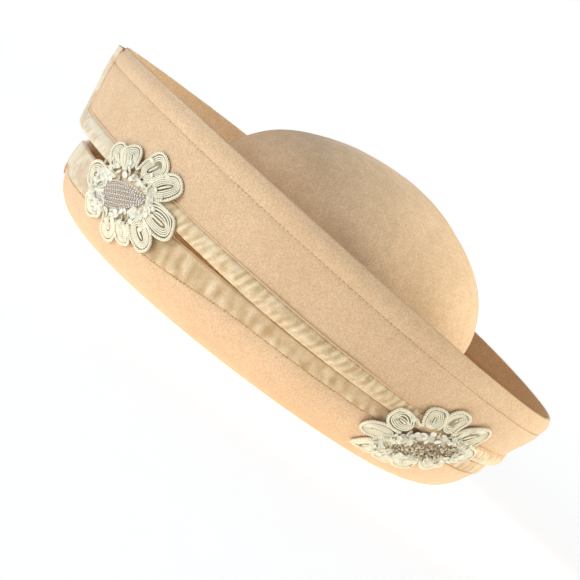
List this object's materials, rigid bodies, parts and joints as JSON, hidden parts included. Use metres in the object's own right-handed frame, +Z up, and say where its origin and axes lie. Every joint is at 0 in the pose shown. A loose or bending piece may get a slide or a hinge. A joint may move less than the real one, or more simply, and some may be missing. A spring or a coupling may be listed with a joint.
{
  "type": "felt hat with a slashed turned-up brim",
  "caption": "Blocked felt hat with a round crown and a turned-up brim, slashed all round, bound with velvet and bridged by pierced lace motifs with beaded middles.",
  "frame": {"origin": "centre of the hat's footprint on the surface that it rests on, at the flat underside of its brim", "axes": "+Z up, -Y to the front of the hat, +X to the wearer's left"},
  "size_m": [0.3264, 0.3738, 0.154],
  "materials": {
    "felt": "matt blocked wool felt with a short nap, peach beige",
    "velvet": "short-pile velvet, cream tan with a soft sheen",
    "lace": "ivory soutache cord and lace with a silky lustre",
    "beads": "silver-lined seed and bugle beads with pearly sequins"
  },
  "bodies": {
    "root": {"crown": "felt", "brim_lower_panel": "felt", "brim_cuff": "felt", "lower_binding": "velvet", "upper_binding": "velvet", "front_left_lace": "lace", "front_left_beads": "beads", "front_right_lace": "lace", "front_right_beads": "beads", "back_left_lace": "lace", "back_left_beads": "beads", "back_right_lace": "lace", "back_right_beads": "beads"}
  },
  "joints": []
}
